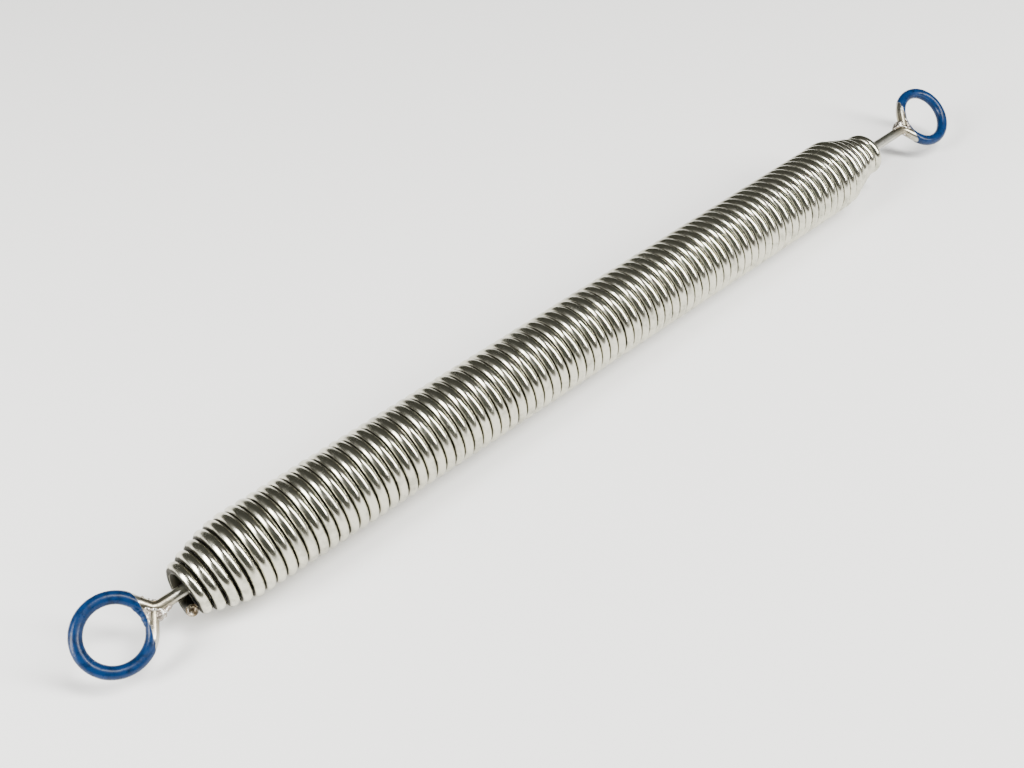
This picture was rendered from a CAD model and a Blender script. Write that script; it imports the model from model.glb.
import bmesh
import bpy
import random
from math import atan2, cos, pi, radians, sin, sqrt
from mathutils import Matrix, Vector, noise


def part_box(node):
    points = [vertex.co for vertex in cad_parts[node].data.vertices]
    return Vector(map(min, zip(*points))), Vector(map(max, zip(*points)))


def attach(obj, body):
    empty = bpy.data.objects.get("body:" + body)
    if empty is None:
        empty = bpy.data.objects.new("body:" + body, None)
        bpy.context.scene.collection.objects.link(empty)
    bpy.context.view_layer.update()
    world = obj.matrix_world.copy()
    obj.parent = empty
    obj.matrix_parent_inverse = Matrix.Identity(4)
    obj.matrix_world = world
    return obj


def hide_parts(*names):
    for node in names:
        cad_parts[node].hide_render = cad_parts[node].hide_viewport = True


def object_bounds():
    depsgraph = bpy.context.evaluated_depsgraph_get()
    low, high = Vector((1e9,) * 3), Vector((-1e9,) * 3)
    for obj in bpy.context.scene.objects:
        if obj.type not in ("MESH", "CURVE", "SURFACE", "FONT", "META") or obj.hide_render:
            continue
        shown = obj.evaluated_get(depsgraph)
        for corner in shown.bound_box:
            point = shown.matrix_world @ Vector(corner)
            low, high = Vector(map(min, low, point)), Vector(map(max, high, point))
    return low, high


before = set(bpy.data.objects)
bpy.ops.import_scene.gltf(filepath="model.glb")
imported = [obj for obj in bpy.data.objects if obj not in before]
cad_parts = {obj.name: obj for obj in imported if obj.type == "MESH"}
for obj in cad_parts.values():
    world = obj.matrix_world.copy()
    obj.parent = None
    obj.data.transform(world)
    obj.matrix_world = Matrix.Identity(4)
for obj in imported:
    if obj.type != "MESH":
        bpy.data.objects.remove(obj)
cad_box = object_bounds()

# Spring coil. One hard-drawn steel wire, wound cold with its turns pressed together,
# so the drawn surface stays bright on the crests while oil and dust stay dark between
# the turns. Both ends are wound down into cones that trap the heads of the eyes.
mm = 0.001
wire_radius = 3.0 * mm
turn_pitch = 6.1 * mm
body_radius = 19.5 * mm
all_turns = 83.25
wire_end_angle = radians(211.0)
near_cone = {"turns": 5.25, "neck": 0.0, "mouth": 10.1 * mm, "shape": 1.4}
far_cone = {"turns": 4.0, "neck": 1.5, "mouth": 10.8 * mm, "shape": 0.9}
coil_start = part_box("coil")[0].x + wire_radius
steps_per_turn = 40
wire_sides = 28
turns_unlike = 0.1 * mm
opened_gaps = (37.5, 44.6)
opened_by = 0.16 * mm
opened_over_turns = 4
shear_rims = (0.3 * mm, 0.6 * mm, 0.7 * mm, 0.7 * mm)
shear_tears = (-0.35, 0.10)
burrs_per_end = 9
burr_spacing = 0.8
frozen_grain = 0.28 * mm
sharp_above = radians(50)
crest_to_gap = (2.40 * mm, 2.85 * mm)
crest_to_bore = (-0.6 * mm, -1.8 * mm)
bright_steel = (0.62, 0.60, 0.49, 1)
dulled_steel = (0.42, 0.41, 0.33, 1)
old_oil = (0.030, 0.028, 0.020, 1)
torn_brown = (0.16, 0.12, 0.07, 1)
torn_bright = (0.72, 0.66, 0.55, 1)


def cone_radius(turns_in, cone):
    """Radius of the wire's centre line, this many turns in from a cone's own end."""
    narrowed = min(max(1 - (turns_in - cone["neck"]) / cone["turns"], 0), 1)
    return body_radius - (body_radius - cone["mouth"]) * narrowed ** cone["shape"]


def wound_radius(turn):
    return min(cone_radius(turn, near_cone), cone_radius(all_turns - turn, far_cone))


def sprung_open(turn):
    """How far a turn has moved along the spring where its neighbours have parted."""
    moved = 0
    for gap in opened_gaps:
        away = turn - gap
        moved += min(max(2 * away, -1), 1) * max(1 - abs(away) / opened_over_turns, 0)
    return moved * opened_by


def wind_turns(work, start_turn, turns):
    """Winds the wire round the axis for these turns from a fresh ring of points."""
    angle = wire_end_angle + 2 * pi * start_turn
    across = Vector((1, 0, 0))
    outward = Vector((0, cos(angle), sin(angle)))
    ring_frame = Matrix((across, outward, across.cross(outward))).transposed().to_4x4()
    ring_frame.translation = outward * body_radius + across * (coil_start + start_turn * turn_pitch)
    ring = bmesh.ops.create_circle(
        work, segments=wire_sides, radius=wire_radius, matrix=ring_frame
    )["verts"]
    ring_edges = dict.fromkeys(edge for vert in ring for edge in vert.link_edges)
    bmesh.ops.spin(
        work,
        geom=list(ring) + list(ring_edges),
        cent=(0, 0, 0),
        axis=(1, 0, 0),
        dvec=(turn_pitch / steps_per_turn, 0, 0),
        angle=2 * pi * turns,
        steps=round(turns * steps_per_turn),
    )


coil_work = bmesh.new()
wind_turns(coil_work, 0, 1)
one_turn = coil_work.verts[:] + coil_work.edges[:] + coil_work.faces[:]
for turn in range(1, int(all_turns)):
    copied = bmesh.ops.duplicate(coil_work, geom=one_turn)["geom"]
    moved = [item for item in copied if isinstance(item, bmesh.types.BMVert)]
    bmesh.ops.translate(coil_work, verts=moved, vec=(turn * turn_pitch, 0, 0))
wind_turns(coil_work, int(all_turns), all_turns % 1)
bmesh.ops.remove_doubles(coil_work, verts=coil_work.verts[:], dist=0.001 * mm)

# The cut ends of the wire are left rough from the shears
shears = random.Random(5)
cut_ends = bmesh.ops.holes_fill(
    coil_work, edges=[edge for edge in coil_work.edges if edge.is_boundary]
)["faces"]
bmesh.ops.recalc_face_normals(coil_work, faces=coil_work.faces[:])
cut_faces = cut_ends[:]
for rim in shear_rims:
    cut_faces += bmesh.ops.inset_region(coil_work, faces=cut_ends, thickness=rim)["faces"]
    for face in cut_ends:
        for vert in face.verts:
            vert.co += face.normal * shears.uniform(*shear_tears) * mm
for face in cut_faces:
    face.material_index = 1

# The turns are alike but not equal: each is a hair smaller or larger than the next
unwound = coil_work.verts.layers.float_vector.new("unwound")
for vert in coil_work.verts:
    place = vert.co
    part_turn = (atan2(place.z, place.y) - wire_end_angle) / (2 * pi) % 1
    turn = part_turn + round((place.x - coil_start) / turn_pitch - part_turn)
    outward = Vector((0, place.y, place.z)).normalized()
    across = place.x - coil_start - turn * turn_pitch
    out = sqrt(place.y ** 2 + place.z ** 2) - body_radius
    vert[unwound] = (turn * 2 * pi * body_radius, across, out)
    unlike = noise.noise(Vector((turn * 0.9, 3.7, 0.0))) - 0.8
    vert.co += outward * (wound_radius(turn) - body_radius + turns_unlike * unlike)
    vert.co.x += sprung_open(turn)


def finished(name, mesh_work, *materials):
    """Puts a finished bmesh into the scene as a smooth object at the origin."""
    data = bpy.data.meshes.new(name)
    mesh_work.to_mesh(data)
    mesh_work.free()
    data.shade_smooth()
    data.set_sharp_from_angle(angle=sharp_above)
    piece = bpy.data.objects.new(name, data)
    bpy.context.scene.collection.objects.link(piece)
    for material in materials:
        data.materials.append(material)
    return piece


def melted(lumps):
    """Draws overlapping lumps, each (middle, radius), together into one frozen skin."""
    work = bmesh.new()
    for middle, radius in lumps:
        bmesh.ops.create_icosphere(
            work, subdivisions=2, radius=radius, matrix=Matrix.Translation(middle)
        )
    loose = bpy.data.objects.new("Lumps", bpy.data.meshes.new("Lumps"))
    work.to_mesh(loose.data)
    work.free()
    bpy.context.scene.collection.objects.link(loose)
    skin = loose.modifiers.new("Skin", "REMESH")
    skin.mode = "VOXEL"
    skin.voxel_size = frozen_grain
    frozen = bpy.data.meshes.new_from_object(
        loose.evaluated_get(bpy.context.evaluated_depsgraph_get())
    )
    bpy.data.objects.remove(loose)
    work = bmesh.new()
    work.from_mesh(frozen)
    bmesh.ops.smooth_vert(
        work, verts=work.verts[:], factor=0.5, use_axis_x=True, use_axis_y=True, use_axis_z=True
    )
    work.normal_update()
    return work


def added(tree, kind, sockets, **settings):
    """A new node with these settings, its sockets fed by other sockets or by plain values."""
    made = tree.nodes.new(kind)
    for setting, value in settings.items():
        setattr(made, setting, value)
    for socket, value in sockets.items():
        if isinstance(value, bpy.types.NodeSocket):
            tree.links.new(value, made.inputs[socket])
        else:
            made.inputs[socket].default_value = value
    return made


def worked_out(tree, operation, *terms):
    """The result of one sum on these sockets or numbers."""
    return added(tree, "ShaderNodeMath", dict(enumerate(terms)), operation=operation).outputs[0]


def eased(tree, value, start, stop):
    """Runs smoothly from 0 at start to 1 at stop."""
    return added(
        tree,
        "ShaderNodeMapRange",
        {"Value": value, "From Min": start, "From Max": stop},
        interpolation_type="SMOOTHSTEP",
    ).outputs[0]


def blended(tree, share, first, second):
    return added(
        tree, "ShaderNodeMix", {"Factor": share, 6: first, 7: second}, data_type="RGBA"
    ).outputs[2]


# Fine lines that the drawing die left, and dull patches of old oil and handling
handled = bpy.data.node_groups.new("Handled steel", "ShaderNodeTree")
for socket in ("Place", "Stretch"):
    handled.interface.new_socket(socket, in_out="INPUT", socket_type="NodeSocketVector")
handled.interface.new_socket("Patch scale", in_out="INPUT", socket_type="NodeSocketFloat")
for socket in ("Lines", "Patches", "Height"):
    handled.interface.new_socket(socket, in_out="OUTPUT", socket_type="NodeSocketFloat")
taken = handled.nodes.new("NodeGroupInput").outputs
given = handled.nodes.new("NodeGroupOutput").inputs
drawn_out = added(
    handled, "ShaderNodeVectorMath", {0: taken["Place"], 1: taken["Stretch"]}, operation="MULTIPLY"
)
lines = added(
    handled,
    "ShaderNodeTexNoise",
    {"Vector": drawn_out.outputs[0], "Scale": 1.0, "Detail": 3.0, "Roughness": 0.6},
).outputs["Fac"]
patchy = added(
    handled,
    "ShaderNodeTexNoise",
    {"Vector": taken["Place"], "Scale": taken["Patch scale"], "Detail": 4.0, "Roughness": 0.65},
).outputs["Fac"]
handled.links.new(lines, given["Lines"])
handled.links.new(eased(handled, patchy, 0.42, 0.70), given["Patches"])
handled.links.new(worked_out(handled, "ADD", lines, patchy), given["Height"])


def surface(name):
    """A new material, with its node tree and its shader's sockets."""
    made = bpy.data.materials.new(name)
    made.use_nodes = True
    return made, made.node_tree, made.node_tree.nodes["Principled BSDF"].inputs


def worn(tree, place, stretch, patch_scale):
    """The lines, patches and height of handled steel, at a place on the surface."""
    return added(
        tree,
        "ShaderNodeGroup",
        {"Place": place, "Stretch": stretch, "Patch scale": patch_scale},
        node_tree=handled,
    ).outputs


def raised(tree, shader, height, strength, distance):
    """Stands a height out of the surface as fine relief."""
    relief = added(
        tree, "ShaderNodeBump", {"Height": height, "Strength": strength, "Distance": distance}
    )
    tree.links.new(relief.outputs[0], shader["Normal"])


steel, tree, shader = surface("Drawn spring steel")
wire_place = added(tree, "ShaderNodeAttribute", {}, attribute_name="unwound").outputs["Vector"]
wear = worn(tree, wire_place, (30.0, 2200.0, 2200.0), 170.0)
on_wire = added(tree, "ShaderNodeSeparateXYZ", {0: wire_place}).outputs
flank = worked_out(tree, "ABSOLUTE", on_wire["Y"])
ragged_flank = worked_out(tree, "MULTIPLY_ADD", wear["Patches"], 0.15 * mm, flank)
between = eased(tree, ragged_flank, *crest_to_gap)
inside = eased(tree, on_wire["Z"], *crest_to_bore)
grime = worked_out(tree, "MAXIMUM", between, inside)
clean = blended(tree, wear["Patches"], bright_steel, dulled_steel)
tree.links.new(blended(tree, grime, clean, old_oil), shader["Base Color"])
dull = worked_out(tree, "MULTIPLY_ADD", wear["Patches"], 0.10, 0.14)
lined = worked_out(tree, "MULTIPLY_ADD", wear["Lines"], 0.08, dull)
tree.links.new(worked_out(tree, "MULTIPLY_ADD", grime, 0.4, lined), shader["Roughness"])
raised(tree, shader, wear["Height"], 0.5, 0.05 * mm)
shader["Metallic"].default_value = 1.0

sheared, tree, shader = surface("Sheared steel")
end_place = added(tree, "ShaderNodeTexCoord", {}).outputs["Object"]
wear = worn(tree, end_place, (900.0, 900.0, 900.0), 500.0)
tree.links.new(blended(tree, wear["Patches"], torn_brown, torn_bright), shader["Base Color"])
tree.links.new(worked_out(tree, "MULTIPLY_ADD", wear["Lines"], 0.3, 0.2), shader["Roughness"])
raised(tree, shader, wear["Height"], 1.0, 0.5 * mm)
shader["Metallic"].default_value = 1.0

end_lumps = []
for turn, outwards in ((0, -1), (all_turns, 1)):
    angle = wire_end_angle + 2 * pi * turn
    outward = Vector((0, cos(angle), sin(angle)))
    cut_middle = outward * wound_radius(turn)
    cut_middle.x = coil_start + turn * turn_pitch
    wire_run = Vector((0, -sin(angle), cos(angle))) * outwards
    for burr in range(burrs_per_end):
        round_rim = burr_spacing * burr
        aside = Vector((cos(round_rim), 0, 0)) + outward * sin(round_rim)
        middle = cut_middle + aside * shears.uniform(1.3, 2.1) * mm - wire_run * 0.3 * mm
        end_lumps.append((middle, shears.uniform(0.7, 1.05) * mm))
burr_work = melted(end_lumps)

for piece in (
    finished("Coil", coil_work, steel, sheared),
    finished("Coil_burrs", burr_work, sheared),
):
    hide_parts("coil")
    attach(piece, "coil")

# Swivel eyes. Each is one steel wire: its head is upset hot and sits in the cone, the
# shank comes out of the mouth, and the neck bends out to a ring that closes on the
# shank's other side. The ring is dipped in blue plastic up to a line before the weld.
ring_radius = 16.9 * mm
coat_radius = 3.3 * mm
bare_radius = 3.08 * mm
neck_angle = radians(36.0)
neck_bend_radius = 5.0 * mm
closing_angle = radians(30.0)
closing_length = 9.3 * mm
eye_swivel = radians(34.0)
head_shape = ((10.8, 0.0), (12.0, 1.2), (12.0, 1.6), (9.1, 8.0), (3.3, 2.5))
head_edge = 0.45 * mm
dip_centre = Vector((-44.2, 7.0, 0.0)) * mm
dip_radius = 60.0 * mm
dip_edge = 0.5 * mm
coat_blue = (0.0013, 0.0195, 0.074, 1)
deep_blue = (0.0007, 0.0090, 0.034, 1)
bare_steel = (0.45, 0.44, 0.38, 1)
heat_tint = (0.31, 0.275, 0.20, 1)
weld_spot = Vector((21.0, -2.0, 0.0)) * mm
tint_reach = (5 * mm, 16 * mm)


def run_on(work, ring, move, steps, widen=1.0):
    """Draws the wire straight on from a ring of edges, and widens it about the shank."""
    for _ in range(steps):
        new = bmesh.ops.extrude_edge_only(work, edges=ring)["geom"]
        verts = [item for item in new if isinstance(item, bmesh.types.BMVert)]
        edges = [item for item in new if isinstance(item, bmesh.types.BMEdge)]
        ring = [edge for edge in edges if set(edge.verts) <= set(verts)]
        bmesh.ops.translate(work, verts=verts, vec=Vector(move) / steps)
        bmesh.ops.scale(work, verts=verts, vec=(1, widen, widen))
    return ring


def bend_on(work, ring, centre, angle, steps):
    """Bends the wire on from a ring of edges, round a centre in its own plane."""
    verts = list(dict.fromkeys(vert for edge in ring for vert in edge.verts))
    new = bmesh.ops.spin(
        work, geom=verts + ring, cent=centre, axis=(0, 0, 1), angle=angle, steps=steps
    )["geom_last"]
    return [item for item in new if isinstance(item, bmesh.types.BMEdge)]


def forged_eye(head_back):
    """The wire of one eye, its ring round the origin and its shank up +X."""
    out_of_ring = Vector((cos(neck_angle), sin(neck_angle), 0))
    bend_start = (ring_radius + neck_bend_radius * (1 - out_of_ring.y)) / out_of_ring.x
    bend_centre = Vector((bend_start, neck_bend_radius, 0))
    neck_run = out_of_ring * ring_radius - (bend_centre - out_of_ring * neck_bend_radius)
    work = bmesh.new()
    first_radius = head_shape[0][0]
    bmesh.ops.create_circle(
        work,
        segments=32,
        radius=first_radius * mm,
        matrix=Matrix.Translation((head_back, 0, 0)) @ Matrix.Rotation(radians(90), 4, "Y"),
    )
    ring = work.edges[:]
    corners = ring[:]
    x = head_back
    radius = first_radius
    for next_radius, length in head_shape[1:]:
        ring = run_on(work, ring, (-length * mm, 0, 0), 1, next_radius / radius)
        corners += ring
        x -= length * mm
        radius = next_radius
    ring = run_on(work, ring, (bend_start - x, 0, 0), 12)
    ring = bend_on(work, ring, bend_centre, neck_angle - pi / 2, 10)
    ring = run_on(work, ring, neck_run, 8)
    ring = bend_on(work, ring, (0, 0, 0), 2 * pi - neck_angle - closing_angle, 120)
    run_on(work, ring, Vector((sin(closing_angle), cos(closing_angle), 0)) * closing_length, 10)
    bmesh.ops.holes_fill(work, edges=[edge for edge in work.edges if edge.is_boundary])
    bmesh.ops.bevel(
        work, geom=corners, offset=head_edge, segments=3, profile=0.5, affect="EDGES", material=-1
    )
    bmesh.ops.recalc_face_normals(work, faces=work.faces[:])
    return work


def uncoated(place):
    """1 where this place on a flat eye is bare steel, 0 where it was dipped."""
    return min(max(((place - dip_centre).length - dip_radius) / dip_edge, 0), 1)


def dipped(work):
    """Takes the bare wire below the face of the dip coat, and marks where each point lay."""
    flat = work.verts.layers.float_vector.new("flat")
    work.normal_update()
    for vert in work.verts:
        vert[flat] = vert.co
        lumpy = abs(noise.noise(vert.co * 260)) * 0.05 * mm
        vert.co -= vert.normal * ((coat_radius - bare_radius) * uncoated(vert.co) + lumpy)


# Blue dip coat over whatever it hides, with a slightly ragged edge
dip_coat = bpy.data.node_groups.new("Blue dip coat", "ShaderNodeTree")
for socket, kind in (("Place", "Vector"), ("Unevenness", "Float"), ("Bare", "Color")):
    dip_coat.interface.new_socket(socket, in_out="INPUT", socket_type="NodeSocket" + kind)
for socket, kind in (("Colour", "Color"), ("Uncoated", "Float")):
    dip_coat.interface.new_socket(socket, in_out="OUTPUT", socket_type="NodeSocket" + kind)
taken = dip_coat.nodes.new("NodeGroupInput").outputs
given = dip_coat.nodes.new("NodeGroupOutput").inputs
from_centre = added(
    dip_coat, "ShaderNodeVectorMath", {0: taken["Place"], 1: dip_centre}, operation="DISTANCE"
).outputs["Value"]
ragged_line = worked_out(dip_coat, "MULTIPLY_ADD", taken["Unevenness"], -0.5 * mm, from_centre)
bare_share = eased(dip_coat, ragged_line, dip_radius, dip_radius + dip_edge)
coat = blended(dip_coat, taken["Unevenness"], coat_blue, deep_blue)
dip_coat.links.new(blended(dip_coat, bare_share, coat, taken["Bare"]), given["Colour"])
dip_coat.links.new(bare_share, given["Uncoated"])


def coated(tree, shader, place, unevenness, bare):
    """Colours a surface with the dip coat, and with bare metal where the coat stops."""
    coat = added(
        tree,
        "ShaderNodeGroup",
        {"Place": place, "Unevenness": unevenness, "Bare": bare},
        node_tree=dip_coat,
    ).outputs
    tree.links.new(coat["Colour"], shader["Base Color"])
    tree.links.new(coat["Uncoated"], shader["Metallic"])
    shader["Specular IOR Level"].default_value = 0.21


eye_finish, tree, shader = surface("Dipped eye")
flat_place = added(tree, "ShaderNodeAttribute", {}, attribute_name="flat").outputs["Vector"]
wear = worn(tree, flat_place, (900.0, 900.0, 900.0), 240.0)
from_weld = added(
    tree, "ShaderNodeVectorMath", {0: flat_place, 1: weld_spot}, operation="DISTANCE"
).outputs["Value"]
cool = eased(tree, from_weld, *tint_reach)
bare = blended(tree, cool, heat_tint, bare_steel)
coated(tree, shader, flat_place, wear["Patches"], bare)
glossy = worked_out(tree, "MULTIPLY_ADD", wear["Lines"], 0.20, 0.20)
tree.links.new(glossy, shader["Roughness"])
raised(tree, shader, wear["Height"], 0.5, 0.12 * mm)

# Both eyes lie in one tilted plane, each with its shank towards the coil
facing = Vector((0, -sin(eye_swivel), cos(eye_swivel)))
ring_reach = ring_radius + coat_radius
eye_places = {}
for side, node, up_shank in (("Near", "near_eye", 1), ("Far", "far_eye", -1)):
    low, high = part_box(node)
    shank = Vector((up_shank, 0, 0))
    place = Matrix((shank, facing.cross(shank), facing)).transposed().to_4x4()
    place.translation.x = low.x + ring_reach if side == "Near" else high.x - ring_reach
    eye_places[side] = (node, place)
    eye_work = forged_eye(high.x - low.x - ring_reach)
    dipped(eye_work)
    bmesh.ops.transform(eye_work, matrix=place, verts=eye_work.verts[:])
    eye = finished(side + "_eye", eye_work, eye_finish)
    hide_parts(node)
    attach(eye, node)

# Weld of each ring. Short runs of bead fill the corners between the ring's free end,
# the neck and the shank, left as they froze: lumpy, scaled grey and brown, with spatter.
weld_runs = (
    ((20.8, -3.8), (27.6, -2.6), 1.1, 10, 2.3, 0.9),
    ((17.6, 1.8), (15.4, -6.4), 2.1, 10, 1.25, 0.8),
    ((17.4, 2.0), (22.0, -1.6), 2.3, 7, 1.0, 1.1),
    ((14.3, 6.3), (15.65, 0.6), 0.0, 9, 2.0, 2.0),
    ((15.65, 0.6), (14.7, -5.4), 0.0, 9, 2.0, 2.0),
)
spatter_spots = ((21.9, 3.7), (20.7, 5.2), (22.9, 3.1), (18.9, 7.6), (23.0, -5.4))
spatter_height = 0.8
spatter_radius = 0.75 * mm
bead_stray = 0.25
bead_unlike = (0.9, 1.1)
scale_grey = (0.34, 0.32, 0.29, 1)
scale_brown = (0.20, 0.14, 0.09, 1)
fresh_weld = (0.74, 0.73, 0.67, 1)


def weld_beads(seed):
    """The beads along each run, on both faces of the flat eye, with spatter beside them.

    A run is its start and stop in the eye's plane, its rise out of that plane, its
    number of beads, and its first and last bead's radius, in millimetres.
    """
    welder = random.Random(seed)
    lumps = [(Vector((x, y, spatter_height)) * mm, spatter_radius) for x, y in spatter_spots]
    for start, stop, rise, count, first_radius, last_radius in weld_runs:
        for bead in range(2 * count):
            share = (bead // 2) / (count - 1)
            middle = Vector(start).lerp(Vector(stop), share).to_3d()
            middle.z = rise * (-1) ** bead
            stray = Vector([welder.uniform(-bead_stray, bead_stray) for _ in range(3)])
            radius = first_radius + (last_radius - first_radius) * share
            lumps.append(((middle + stray) * mm, radius * welder.uniform(*bead_unlike) * mm))
    work = melted(lumps)
    flat = work.verts.layers.float_vector.new("flat")
    for vert in work.verts:
        vert[flat] = vert.co
        rippled = noise.noise(vert.co * 900) * 0.20 + noise.noise(vert.co * 2300) * 0.14
        vert.co += vert.normal * rippled * uncoated(vert.co) * mm
    return work


weld_finish, tree, shader = surface("Weld scale")
flat_place = added(tree, "ShaderNodeAttribute", {}, attribute_name="flat").outputs["Vector"]
wear = worn(tree, flat_place, (2500.0, 2500.0, 2500.0), 420.0)
scale = blended(tree, wear["Lines"], scale_grey, scale_brown)
bared = eased(tree, wear["Patches"], 0.25, 0.65)
coated(tree, shader, flat_place, wear["Patches"], blended(tree, bared, scale, fresh_weld))
rough_weld = worked_out(tree, "MULTIPLY_ADD", bared, -0.15, 0.40)
tree.links.new(rough_weld, shader["Roughness"])
raised(tree, shader, wear["Height"], 0.6, 0.2 * mm)

for side, seed in (("Near", 3), ("Far", 8)):
    node, place = eye_places[side]
    weld_work = weld_beads(seed)
    bmesh.ops.transform(weld_work, matrix=place, verts=weld_work.verts[:])
    weld = finished(side + "_weld", weld_work, weld_finish)
    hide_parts(node)
    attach(weld, node)

# Studio. A plain pale floor in a dim room, with a soft light to the left like a window
# and a long soft light overhead, in front of the spring's far half.
floor_colour = (0.92, 0.91, 0.88, 1)
room_colour = (0.93, 0.95, 0.84, 1)
lit_spot = Vector((0.28, 0.0, 0.0))
view_along = Vector((0.4461, 0.5096, -0.7357))

floor_work = bmesh.new()
bmesh.ops.create_grid(floor_work, x_segments=1, y_segments=1, size=3.0)
bmesh.ops.translate(floor_work, verts=floor_work.verts[:], vec=(0.3, 0, cad_box[0][2]))
pale, _, shader = surface("Pale floor")
shader["Base Color"].default_value = floor_colour
shader["Roughness"].default_value = 0.9
floor = finished("Floor", floor_work, pale)

room = bpy.data.worlds.new("Room")
bpy.context.scene.world = room
room.use_nodes = True
room_light = room.node_tree.nodes["Background"].inputs
room_light["Color"].default_value = room_colour
room_light["Strength"].default_value = 0.08


def soft_light(name, place, width, depth, power):
    """A soft lamp of this width and depth, turned towards the spring."""
    lamp = bpy.data.lights.new(name, "AREA")
    lamp.shape = "RECTANGLE"
    lamp.size = width
    lamp.size_y = depth
    lamp.energy = power
    holder = bpy.data.objects.new(name, lamp)
    holder.location = place
    holder.rotation_euler = (lit_spot - Vector(place)).to_track_quat("-Z", "Y").to_euler()
    bpy.context.scene.collection.objects.link(holder)


soft_light("Window", (-1.0, 0.22, 0.64), 0.46, 1.2, 52)
soft_light("Overhead", (0.85, -0.85, 1.25), 0.36, 2.1, 85)

camera_data = bpy.data.cameras.new("Camera")
camera_data.lens = 44.27
camera_data.sensor_width = 36.0
camera = bpy.data.objects.new("Camera", camera_data)
camera.location = (-0.0639, -0.3467, 0.4970)
camera.rotation_euler = view_along.to_track_quat("-Z", "Y").to_euler()
bpy.context.scene.collection.objects.link(camera)
bpy.context.scene.camera = camera
